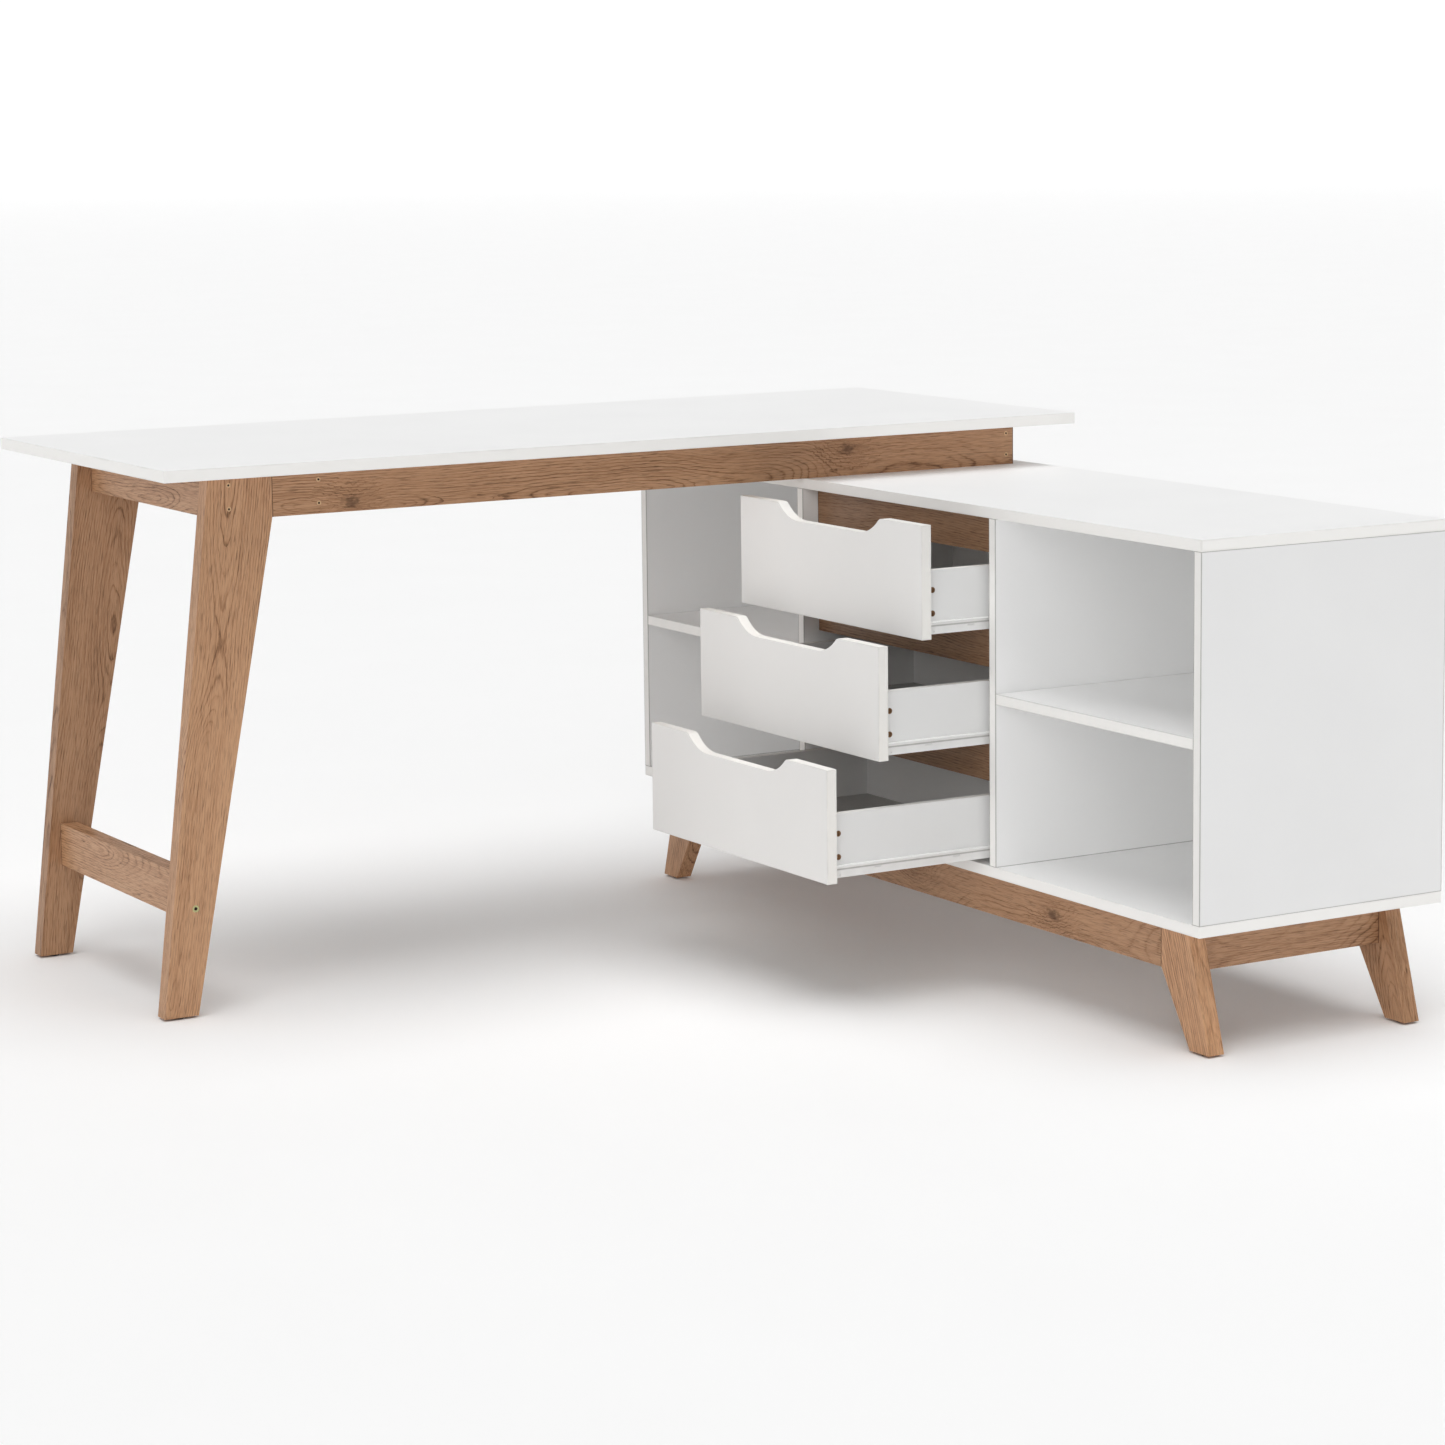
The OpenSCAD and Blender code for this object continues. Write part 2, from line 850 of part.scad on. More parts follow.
// Cams in the sides' outer faces, close behind the front; the child's +Z points inwards
module cam_places(i) {
    for (drop = cam_drops) {
        z = side_low(i) + drawer_side_high - drop;
        translate([box_x + cam_from_front, bay_y + side_space, z])
            rotate([-90, 0, 0]) children();
        translate([box_x + cam_from_front, far_divider_y - side_space, z])
            mirror([0, 1, 0]) rotate([-90, 0, 0]) children();
    }
}

module cam(clear = 0) {
    translate([0, 0, -cam_proud]) cylinder(r = cam_r + clear, h = cam_proud + cam_deep + clear);
}

// Bolt from a cam into the back of the drawer front, along -X
module cam_bolt(clear = 0) {
    translate([0, 0, cam_deep / 2]) rotate([0, -90, 0])
        cylinder(r = cam_bolt_r + clear, h = cam_from_front + cam_bolt_in_front + clear);
}

// Screws through the sides into the ends of the drawer's back
module back_screw_places(i) {
    for (drop = back_screw_drops) {
        z = side_low(i) + drawer_side_high - drop;
        translate([box_x + runner_long - drawer_board / 2, bay_y + side_space, z])
            rotate([-90, 0, 0]) children();
        translate([box_x + runner_long - drawer_board / 2, far_divider_y - side_space, z])
            rotate([90, 0, 0]) children();
    }
}

module back_screw(clear = 0) {
    cylinder(r = back_screw_head_r + clear, h = back_screw_head_high + clear);
    cylinder(r = back_screw_r + clear, h = back_screw_long + clear);
}

module drawer_fasteners(i) {
    color(BRONZE) translate([-opens[i], 0, 0]) {
        cam_places(i) difference() {
            union() {
                cam();
                cam_bolt();
            }
            translate([0, 0, -cam_proud - 1]) {
                slab(-2.6, -0.5, 0, 5.2, 1, 2.2);
                slab(-0.5, -2.6, 0, 1, 5.2, 2.2);
            }
        }
        back_screw_places(i) difference() {
            back_screw();
            translate([0, 0, -1]) cylinder(r = 1.6, h = 2.6, $fn = 6);
        }
    }
}

// ---- Roller runners ------------------------------------------------------------------

// Draws its children once at each side of the bay, with y running from the divider
module both_sides() {
    translate([0, bay_y, 0]) children();
    translate([0, far_divider_y, 0]) mirror([0, 1, 0]) children();
}

// Steel channels on the dividers, each with the front roller's axle
module cabinet_runners() {
    front_x = box_x + roller_from_end;
    color(RUNNER) for (i = [0:2]) both_sides() {
        low = channel_low(i);
        difference() {
            slab(
                box_x + channel_setback, 0, low,
                runner_long - channel_setback, channel_u, channel_high
            );
            slab(
                box_x - 1, sheet, low + sheet,
                runner_long + 2, channel_u, channel_high - 2 * sheet
            );
            for (along = runner_hole_places)
                rod_y(box_x + along, -1, sheet + 1, low + channel_high / 2, runner_hole_r);
        }
        rod_y(front_x, sheet, front_rivet_u + rivet_high, slide_low(i) + front_roller_lift, axle_r);
        rod_y(
            front_x, front_rivet_u, front_rivet_u + rivet_high,
            slide_low(i) + front_roller_lift, rivet_r
        );
    }
}

// Steel slides under the drawer's sides, each with the rear roller's axle
module drawer_runners(i) {
    low = slide_low(i);
    rear_x = box_x + runner_long - roller_from_end;
    color(RUNNER) translate([-opens[i], 0, 0]) both_sides() {
        difference() {
            slab(box_x, side_space - sheet, low, runner_long, sheet, slide_high);
            slide_holes(low);
        }
        slab(box_x, side_space - sheet, low, runner_long, sheet + slide_lip, sheet);
        slab(
            box_x, slide_wing_u, low + slide_high - sheet,
            runner_long, side_space - slide_wing_u, sheet
        );
        rod_y(rear_x, rear_rivet_u, side_space - sheet, low + rear_roller_lift, axle_r);
        rod_y(rear_x, rear_rivet_u, rear_rivet_u + rivet_high, low + rear_roller_lift, rivet_r);
    }
}

// A round hole near the slide's front end and long screw slots along it
module slide_holes(low) {
    y0 = side_space - sheet - 1;
    y1 = side_space + 1;
    rod_y(box_x + slide_hole_place, y0, y1, low + slide_hole_lift, slide_hole_r);
    for (along = slide_slot_places) {
        for (end = [-0.5, 0.5])
            rod_y(box_x + along + end * slide_slot_long, y0, y1, low + slide_high / 2, slide_hole_r);
        slab(
            box_x + along - slide_slot_long / 2, y0, low + slide_high / 2 - slide_hole_r,
            slide_slot_long, y1 - y0, 2 * slide_hole_r
        );
    }
}

// Grooved nylon roller on its axle, from u[0] to u[1]
module roller(x, z, r, u) {
    middle = (u[0] + u[1]) / 2;
    difference() {
        rod_y(x, u[0], u[1], z, r);
        rod_y(x, u[0] - 1, u[1] + 1, z, axle_r + axle_fit);
        for (face = u)
            difference() {
                rod_y(x, face - roller_dish, face + roller_dish, z, r - roller_wall);
                rod_y(x, face - 1, face + 1, z, axle_r + roller_hub);
            }
        translate([x, middle, z]) rotate([-90, 0, 0]) rotate_extrude()
            translate([r + 0.5, 0]) circle(r = roller_groove_r);
    }
}

// The pair of rollers at the front end of the cabinet's channels
module front_rollers(i) {
    color(NYLON) both_sides() roller(
        box_x + roller_from_end, slide_low(i) + front_roller_lift,
        front_roller_r, front_roller_u
    );
}

// The pair of rollers at the rear end of the drawer's slides
module rear_rollers(i) {
    color(NYLON) translate([-opens[i], 0, 0]) both_sides() roller(
        box_x + runner_long - roller_from_end, slide_low(i) + rear_roller_lift,
        rear_roller_r, rear_roller_u
    );
}

desk_top();
front_apron();
back_apron();
inner_cross_rail();
end_cross_rail();
front_leg();
back_leg();
leg_top_rail();
leg_stretcher();
leg_glides();
frame_bolts();
stretcher_bolts();
fixing_brackets();
bracket_screws();
wood_dowels();
cabinet_top();
cabinet_bottom();
near_side_panel();
far_side_panel();
near_divider();
far_divider();
near_shelf();
far_shelf();
shelf_pins();
back_panels();
bay_rails();
base_long_rails();
base_short_rails();
near_front_cabinet_leg();
near_back_cabinet_leg();
far_front_cabinet_leg();
far_back_cabinet_leg();
cabinet_glides();
base_screws();
cabinet_runners();
drawer_front(0);  // top_drawer_front
drawer_sides(0);  // top_drawer_sides
drawer_back(0);  // top_drawer_back
drawer_bottom(0);  // top_drawer_bottom
drawer_fasteners(0);  // top_drawer_fasteners
drawer_runners(0);  // top_drawer_runners
front_rollers(0);  // top_front_rollers
rear_rollers(0);  // top_rear_rollers
drawer_front(1);  // middle_drawer_front
drawer_sides(1);  // middle_drawer_sides
drawer_back(1);  // middle_drawer_back
drawer_bottom(1);  // middle_drawer_bottom
drawer_fasteners(1);  // middle_drawer_fasteners
drawer_runners(1);  // middle_drawer_runners
front_rollers(1);  // middle_front_rollers
rear_rollers(1);  // middle_rear_rollers
drawer_front(2);  // bottom_drawer_front
drawer_sides(2);  // bottom_drawer_sides
drawer_back(2);  // bottom_drawer_back
drawer_bottom(2);  // bottom_drawer_bottom
drawer_fasteners(2);  // bottom_drawer_fasteners
drawer_runners(2);  // bottom_drawer_runners
front_rollers(2);  // bottom_front_rollers
rear_rollers(2);  // bottom_rear_rollers
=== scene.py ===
import math

import bpy
from mathutils import Matrix, Vector


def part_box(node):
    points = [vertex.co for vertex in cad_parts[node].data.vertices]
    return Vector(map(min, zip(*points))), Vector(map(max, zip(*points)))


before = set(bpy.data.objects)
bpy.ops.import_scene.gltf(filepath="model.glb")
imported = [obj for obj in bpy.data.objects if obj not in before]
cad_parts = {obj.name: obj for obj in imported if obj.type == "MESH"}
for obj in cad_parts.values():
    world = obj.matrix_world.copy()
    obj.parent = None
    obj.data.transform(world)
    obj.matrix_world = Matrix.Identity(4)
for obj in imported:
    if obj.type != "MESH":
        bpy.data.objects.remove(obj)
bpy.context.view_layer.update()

X = Vector((1, 0, 0))
Y = Vector((0, 1, 0))
Z = Vector((0, 0, 1))
DRAWERS = ("top", "middle", "bottom")

FLOAT = "NodeSocketFloat"
VECTOR = "NodeSocketVector"
COLOUR = "NodeSocketColor"
SURFACE = [("Color", COLOUR), ("Roughness", FLOAT), ("Height", FLOAT)]


# ---- Node-graph helpers ----------------------------------------------------------------


class Graph:
    """Builds a shader tree: sockets and plain numbers can both be given as inputs."""

    def __init__(self, tree):
        self.tree = tree

    def node(self, kind, inputs=(), **settings):
        made = self.tree.nodes.new(kind)
        for name, value in settings.items():
            setattr(made, name, value)
        for key, value in dict(inputs).items():
            self.feed(made.inputs[key], value)
        return made

    def feed(self, socket, value):
        if isinstance(value, bpy.types.NodeSocket):
            self.tree.links.new(value, socket)
        else:
            socket.default_value = value

    def math(self, operation, a, b=0.0, c=0.0, clamp=False):
        inputs = {0: a, 1: b, 2: c}
        made = self.node("ShaderNodeMath", inputs, operation=operation, use_clamp=clamp)
        return made.outputs[0]

    def add(self, a, b):
        return self.math("ADD", a, b)

    def less(self, a, b):
        return self.math("SUBTRACT", a, b)

    def product(self, a, b):
        return self.math("MULTIPLY", a, b)

    def scaled(self, value, gain, offset, clamp=False):
        return self.math("MULTIPLY_ADD", value, gain, offset, clamp)

    def swing(self, value, reach):
        """Turns a value of 0 to 1 into one from -reach / 2 to reach / 2."""
        return self.scaled(value, reach, -reach / 2)

    def smaller(self, a, b):
        return self.math("MINIMUM", a, b)

    def larger(self, a, b):
        return self.math("MAXIMUM", a, b)

    def vector(self, operation, a, b=(0, 0, 0)):
        return self.node("ShaderNodeVectorMath", {0: a, 1: b}, operation=operation)

    def dot(self, a, b):
        return self.vector("DOT_PRODUCT", a, b).outputs["Value"]

    def times(self, a, b):
        return self.vector("MULTIPLY", a, b).outputs[0]

    def plus(self, a, b):
        return self.vector("ADD", a, b).outputs[0]

    def minus(self, a, b):
        return self.vector("SUBTRACT", a, b).outputs[0]

    def parts(self, vector):
        return self.node("ShaderNodeSeparateXYZ", {0: vector}).outputs

    def noise(self, place, scale=1.0, detail=2.0, rough=0.5):
        inputs = {"Vector": place, "Scale": scale, "Detail": detail, "Roughness": rough}
        return self.node("ShaderNodeTexNoise", inputs).outputs["Fac"]

    def span(self, value, low, high, out_low=0.0, out_high=1.0):
        """Maps low..high to out_low..out_high with smooth ends, held outside."""
        inputs = dict(enumerate((value, low, high, out_low, out_high)))
        made = self.node("ShaderNodeMapRange", inputs, interpolation_type="SMOOTHSTEP")
        return made.outputs[0]

    def ramp(self, value, stops):
        """A colour ramp from (position, colour or grey) stops."""
        made = self.node("ShaderNodeValToRGB", {0: value})
        elements = made.color_ramp.elements
        while len(elements) < len(stops):
            elements.new(0.5)
        for element, (position, colour) in zip(elements, stops):
            element.position = position
            grey = isinstance(colour, (int, float))
            element.color = (colour,) * 3 + (1,) if grey else (*colour, 1)
        return made.outputs[0]

    def blend(self, value, dark, light):
        """A ramp from dark to light over the middle of a noise's range."""
        return self.ramp(value, [(0.3, dark), (0.7, light)])

    def mix(self, amount, a, b):
        """Mixes two colours, which the node takes at sockets 6 and 7 and gives at 2."""
        return self.node("ShaderNodeMix", {0: amount, 6: a, 7: b}, data_type="RGBA").outputs[2]


def new_group(name, inputs, outputs):
    """An empty node group with the named sockets: returns its graph and input sockets."""
    tree = bpy.data.node_groups.new(name, "ShaderNodeTree")
    for label, kind in inputs:
        tree.interface.new_socket(label, in_out="INPUT", socket_type=kind)
    for label, kind in outputs:
        tree.interface.new_socket(label, in_out="OUTPUT", socket_type=kind)
    source = tree.nodes.new("NodeGroupInput")
    return Graph(tree), source.outputs


def group_outputs(graph, **values):
    target = graph.tree.nodes.new("NodeGroupOutput")
    for label, value in values.items():
        graph.feed(target.inputs[label], value)


def new_material(name):
    material = bpy.data.materials.new(name)
    material.use_nodes = True
    tree = material.node_tree
    shader = tree.nodes["Principled BSDF"]
    return material, Graph(tree), shader


def object_place(graph):
    return graph.node("ShaderNodeTexCoord").outputs["Object"]


def colour_surface(graph, shader, colour, rough):
    graph.feed(shader.inputs["Base Color"], colour)
    graph.feed(shader.inputs["Roughness"], rough)


def bump(graph, shader, height, distance, strength):
    inputs = {"Height": height, "Distance": distance, "Strength": strength}
    graph.feed(shader.inputs["Normal"], graph.node("ShaderNodeBump", inputs).outputs[0])


def use_group(graph, shader, tree, inputs):
    """Puts a surface group on the shader and returns its height socket."""
    surface = graph.node("ShaderNodeGroup", inputs, node_tree=tree)
    colour_surface(graph, shader, surface.outputs["Color"], surface.outputs["Roughness"])
    return surface.outputs["Height"]


# ---- Wood ------------------------------------------------------------------------------
# Lengths are metres in a board's own frame

# Waves to the metre along and across the grain, then the noise's detail and roughness
FIGURES = {
    "knot_blur": (120.0, 180.0, 3.0, 0.6),
    "sway": (3.2, 5.0, 1.0, 0.5),
    "drift": (1.9, 4.0, 1.0, 0.5),
    "ripple": (22.0, 75.0, 3.0, 0.62),
    "show": (4.0, 14.0, 1.0, 0.5),
    "dash": (48.0, 900.0, 1.0, 0.5),
    "long_pore": (15.0, 480.0, 2.0, 0.5),
    "streak": (17.0, 640.0, 3.0, 0.62),
    "band": (2.4, 75.0, 2.0, 0.5),
    "fibre": (48.0, 1200.0, 2.0, 0.7),
    "tone": (1.4, 24.0, 2.0, 0.5),
}
# Gain and offset with which each figure darkens the wood
DARKENING = {
    "streak": (1.35, -0.63),
    "band": (0.55, -0.25),
    "fibre": (1.15, -0.575),
    "tone": (0.62, -0.30),
}
LATE_DARK = (0.58, 0.04)
KNOT_DARK = 0.22

RING_PITCH = 0.0040
RING_RIPPLE = 0.0046
RING_TONES = [(0.0, 0.8), (0.16, 0.1), (0.5, 0.0), (0.78, 0.2), (0.94, 1.0)]
RING_SHOW = (0.34, 0.60, 0.38, 1.0)
YEAR_STRENGTH = (0.95, 0.35)
HEART_SWAY = 0.110
HEART_DRIFT = 0.070
HEART_SLOPE = 0.05
HEART_ASIDE = 0.022
HEART_DEPTH = 0.018
KNOT_STRETCH = (0.62, 1.0, 0.0)
KNOT_BLUR = 0.024
KNOT_CORE = 0.0125
KNOT_REACH = 0.045
KNOT_SWELL = 0.011
PORE_EDGE = (0.56, 0.66)
PORE_BY_RING = (0.55, 0.45)
LONG_PORE_EDGE = (0.66, 0.73)
JOINT_SHADOW = (0.0018, 0.0008, 0.0, 0.85)
PORE_SHADE = 0.72
LONG_PORE_SHADE = 0.50
KNOT_SHADE = 0.75
OAK_TONES = [
    (0.0, (0.630, 0.358, 0.196)),
    (0.35, (0.510, 0.268, 0.136)),
    (0.70, (0.336, 0.166, 0.078)),
    (1.0, (0.165, 0.075, 0.033)),
]
PORE_TONE = (0.100, 0.046, 0.022, 1)
WOOD_ROUGH = 0.40
DARK_ROUGH = 0.14
PORE_ROUGH = 0.2
FIBRE_RELIEF = 0.35
LATE_RELIEF = 0.25
WOOD_SPECULAR = 0.42
WOOD_BUMP = 0.00035


def wood_group():
    """Flat-sawn oak: u runs along the grain, v across the wide face and w through the
    board."""
    graph, source = new_group(
        "flat_sawn_oak",
        [
            ("Place", VECTOR),
            ("Along", VECTOR),
            ("Across", VECTOR),
            ("Through", VECTOR),
            ("Middle", VECTOR),
            ("Shift", VECTOR),
            ("Heart", VECTOR),
            ("Knot", VECTOR),
            ("Second Knot", VECTOR),
            ("Tone And Shade", FLOAT),
            ("End", FLOAT),
            ("Top", FLOAT),
        ],
        SURFACE,
    )
    local = graph.minus(source["Place"], source["Middle"])
    u = graph.dot(local, source["Along"])
    v = graph.dot(local, source["Across"])
    w = graph.dot(local, source["Through"])
    board = graph.node("ShaderNodeCombineXYZ", {0: u, 1: v, 2: w}).outputs[0]
    grain = graph.plus(board, source["Shift"])

    def figure(name):
        along, across, detail, rough = FIGURES[name]
        place = graph.times(grain, (along, across, across))
        return graph.noise(place, detail=detail, rough=rough)

    # Knots: how near a point is to the closer one, with the knot drawn out along the grain
    spread = []
    for knot in ("Knot", "Second Knot"):
        away = graph.times(graph.minus(board, source[knot]), KNOT_STRETCH)
        spread.append(graph.vector("LENGTH", away).outputs["Value"])
    knot_blur = graph.swing(figure("knot_blur"), KNOT_BLUR)
    knot_away = graph.add(graph.smaller(*spread), knot_blur)
    knot_core = graph.span(knot_away, KNOT_CORE, 0.0)
    knot_bend = graph.span(knot_away, KNOT_REACH, 0.0)

    # Growth rings round a heart line that wanders in and out of the board along its length
    heart = graph.parts(source["Heart"])
    depth = graph.add(w, graph.scaled(u, heart[0], heart[2]))
    depth = graph.add(depth, graph.swing(figure("sway"), HEART_SWAY))
    side = graph.add(v, heart[1])
    side = graph.add(side, graph.swing(figure("drift"), HEART_DRIFT))
    radius = graph.math("SQRT", graph.scaled(side, side, graph.product(depth, depth)))
    radius = graph.add(radius, graph.swing(figure("ripple"), RING_RIPPLE))
    radius = graph.scaled(knot_bend, KNOT_SWELL, radius)
    rings = graph.product(radius, 1 / RING_PITCH)
    ring_number = graph.math("FLOOR", rings)
    year = graph.node(
        "ShaderNodeTexWhiteNoise", {"W": ring_number}, noise_dimensions="1D"
    ).outputs["Value"]
    late = graph.ramp(graph.math("FRACT", rings), RING_TONES)
    late = graph.product(late, graph.span(figure("show"), *RING_SHOW))
    late = graph.product(late, graph.scaled(year, *YEAR_STRENGTH))

    # Open pores: short dark dashes along the grain, mostly beside the ring lines
    pore = graph.span(figure("dash"), *PORE_EDGE)
    pore = graph.product(pore, graph.scaled(late, *PORE_BY_RING))
    long_pore = graph.span(figure("long_pore"), *LONG_PORE_EDGE)

    # Late wood, coarse streaks, bands, fibres and slow changes of tone
    figures = {name: figure(name) for name in DARKENING}
    dark = graph.scaled(late, *LATE_DARK)
    for name, weights in DARKENING.items():
        dark = graph.add(dark, graph.scaled(figures[name], *weights))
    dark = graph.scaled(knot_bend, KNOT_DARK, dark, clamp=True)

    # Painted shade at the joints: the last millimetre before another board is darkened as if in
    # shadow
    to_end = graph.less(source["End"], graph.math("ABSOLUTE", u))
    to_top = graph.less(source["Top"], graph.dot(source["Place"], Z))
    painted_joint_shade = graph.span(graph.smaller(to_end, to_top), *JOINT_SHADOW)
    marks_and_painted_shade = graph.product(pore, PORE_SHADE)
    marks_and_painted_shade = graph.larger(marks_and_painted_shade, graph.product(long_pore, LONG_PORE_SHADE))
    marks_and_painted_shade = graph.larger(marks_and_painted_shade, graph.product(knot_core, KNOT_SHADE))
    # The painted joint shade joins the pores and knots as one dark mark
    marks_and_painted_shade = graph.larger(marks_and_painted_shade, painted_joint_shade)

    colour = graph.mix(marks_and_painted_shade, graph.ramp(dark, OAK_TONES), PORE_TONE)
    # The tone scales the colour: partly the board's own lightness, partly painted shade
    colour = graph.node(
        "ShaderNodeVectorMath", {0: colour, "Scale": source["Tone And Shade"]}, operation="SCALE"
    ).outputs[0]
    rough = graph.scaled(dark, DARK_ROUGH, WOOD_ROUGH)
    rough = graph.scaled(marks_and_painted_shade, PORE_ROUGH, rough)
    height = graph.scaled(marks_and_painted_shade, -1.0, graph.product(figures["fibre"], FIBRE_RELIEF))
    height = graph.scaled(late, LATE_RELIEF, height)
    group_outputs(graph, Color=colour, Roughness=rough, Height=height)
    return graph.tree


WOOD = wood_group()
# Too far away to show on any board
NO_KNOT = (9.0, 9.0, 0.0)
# Too far away for painted joint shade to show on any board
NO_JOINT_SHADE = 9.0
# Materials of the level boards whose top edge meets no other board
FREE_TOPS = ("oak_leg_stretcher", "oak_bay_rails")


def scatter(seed, step):
    """A repeatable fraction for a board's number."""
    return (seed * step) % 1.0


def wood_material(name, low, high, along, across, seed, tone, knots):
    """Oak for one board. The grain runs along, across is the wide face's direction, and knots are
    (along, across) places from the board's middle. The tone is partly the board's own lightness and
    partly painted shade. Only a board that lies along an axis has painted joint shade at its two
    ends."""
    material, graph, shader = new_material(name)
    along = along.normalized()
    across = (across - along * across.dot(along)).normalized()
    knots = [(*knot, 0.0) for knot in knots] + [NO_KNOT, NO_KNOT]
    slope = HEART_SLOPE + HEART_SLOPE * scatter(seed, 0.61)
    slope = slope if seed % 2 else -slope
    aside = HEART_ASIDE if seed % 3 else -HEART_ASIDE
    square = max(along) > 0.999
    inputs = {
        "Place": object_place(graph),
        "Along": along,
        "Across": across,
        "Through": along.cross(across),
        "Middle": (low + high) / 2,
        "Shift": (seed * 1.73, seed * 0.91, seed * 1.37),
        "Heart": (slope, aside, HEART_DEPTH * scatter(seed, 0.37)),
        "Knot": knots[0],
        "Second Knot": knots[1],
        "Tone And Shade": tone,
        "End": (high - low).dot(along) / 2 if square else NO_JOINT_SHADE,
        "Top": NO_JOINT_SHADE if name in FREE_TOPS else high.z,
    }
    height = use_group(graph, shader, WOOD, inputs)
    shader.inputs["Specular IOR Level"].default_value = WOOD_SPECULAR
    bump(graph, shader, height, WOOD_BUMP, 0.6)
    return material


# ---- White melamine board ----------------------------------------------------------------

FACE_TONES = [(0.25, (0.920, 0.920, 0.918)), (0.75, (0.948, 0.948, 0.945))]
EDGE_TONES = [(0.25, (0.955, 0.942, 0.915)), (0.75, (0.980, 0.970, 0.948))]
PEARL_TONE = (0.78, 0.78, 0.77, 1)
WEAR_TONE = (0.60, 0.585, 0.55, 1)
PAINTED_SHADE_TONE = (0.30, 0.29, 0.27, 1)
# How squarely a surface faces along the thickness where the face gives way to the edge band
EDGE_TURN = (0.5, 0.35)
# Distances from an arris, in metres, at which the wear and the painted shade of the joint line
# begin and are full
WEAR_WIDTH = (0.0032, 0.0002)
SHADE_LINE_WIDTH = (0.0013, 0.0005)
WEAR_PATCHES = (0.40, 0.70)
PEARL_AMOUNT = 0.05
WEAR_AMOUNT = 0.30
WHITE_ROUGH = 0.42
SMUDGE_ROUGH = 0.16
WEAR_ROUGH = 0.12
WHITE_SPECULAR = 0.20
WHITE_BUMP = 0.00004


def melamine_group():
    """White melamine-faced board with a slightly warmer edge band, a thin dark joint line of
    painted shade along its arrises, and a little handling wear along them."""
    graph, source = new_group(
        "white_melamine",
        [
            ("Place", VECTOR),
            ("Normal", VECTOR),
            ("Thin", VECTOR),
            ("Low", VECTOR),
            ("High", VECTOR),
            ("Shift", VECTOR),
            ("Joint Shade", FLOAT),
            ("Tint", VECTOR),
        ],
        SURFACE,
    )
    place = source["Place"]
    # Distance to the nearest arris: the second smallest of the distances to the faces
    up = graph.minus(place, source["Low"])
    down = graph.minus(source["High"], place)
    near = graph.parts(graph.vector("MINIMUM", up, down).outputs[0])
    either = graph.larger(near[0], near[1])
    arris = graph.larger(graph.smaller(near[0], near[1]), graph.smaller(either, near[2]))

    facing = graph.math("ABSOLUTE", graph.dot(source["Normal"], source["Thin"]))
    band = graph.span(facing, *EDGE_TURN)
    shifted = graph.plus(place, source["Shift"])
    cloud = graph.noise(shifted, scale=5.0, detail=3.0)
    smudge = graph.noise(shifted, scale=14.0, detail=4.0, rough=0.65)
    pearl = graph.noise(shifted, scale=1500.0, detail=2.0, rough=0.6)
    tones = graph.mix(band, graph.ramp(cloud, FACE_TONES), graph.ramp(smudge, EDGE_TONES))
    # The tint scales the colour; on some boards it is painted shade
    colour = graph.times(tones, source["Tint"])
    colour = graph.mix(graph.product(pearl, PEARL_AMOUNT), colour, PEARL_TONE)
    patches = graph.span(smudge, *WEAR_PATCHES)
    wear = graph.product(graph.span(arris, *WEAR_WIDTH), patches)
    colour = graph.mix(graph.product(wear, WEAR_AMOUNT), colour, WEAR_TONE)
    # Painted shade: a thin dark line along the arrises where boards meet, as strong as the board's
    # joint strength
    painted_joint_shade = graph.product(graph.span(arris, *SHADE_LINE_WIDTH), source["Joint Shade"])
    colour = graph.mix(painted_joint_shade, colour, PAINTED_SHADE_TONE)
    rough = graph.scaled(smudge, SMUDGE_ROUGH, WHITE_ROUGH)
    rough = graph.scaled(wear, WEAR_ROUGH, rough)
    group_outputs(graph, Color=colour, Roughness=rough, Height=pearl)
    return graph.tree


MELAMINE = melamine_group()


def melamine_material(name, low, high, thin, seed, painted_joint_shade, tint_and_shade):
    """White board for one panel: thin is the direction of its thickness, the joint strength is how
    dark the painted shade line along its arrises is, and the tint, which on some boards is painted
    shade, scales its colour."""
    material, graph, shader = new_material(name)
    coords = graph.node("ShaderNodeTexCoord").outputs
    inputs = {
        "Place": coords["Object"],
        "Normal": coords["Normal"],
        "Thin": thin,
        "Low": low,
        "High": high,
        "Shift": (seed * 0.83, seed * 1.21, seed * 0.57),
        "Joint Shade": painted_joint_shade,
        "Tint": tint_and_shade,
    }
    height = use_group(graph, shader, MELAMINE, inputs)
    shader.inputs["Specular IOR Level"].default_value = WHITE_SPECULAR
    bump(graph, shader, height, WHITE_BUMP, 0.5)
    return material


# ---- Small materials -----------------------------------------------------------------------

SPECKLE = 900.0
ROUGH_REACH = 0.12
METAL_BUMP = 0.00003
SOCKET_SHADE_TONE = (0.045, 0.028, 0.018, 1)
SOCKET_DEPTH = (0.0003, 0.0007)
# Depths below a runner's upper flange between which a band of painted shade comes in and goes out
SEAM_SHADE = ((0.0012, 0.0016), (0.0030, 0.0022))
GROOVE_SHADE = ((0.0048, 0.0056), (0.0078, 0.0066))
SEAM_STRENGTH = 0.8
SHADE_STRENGTH = 0.6


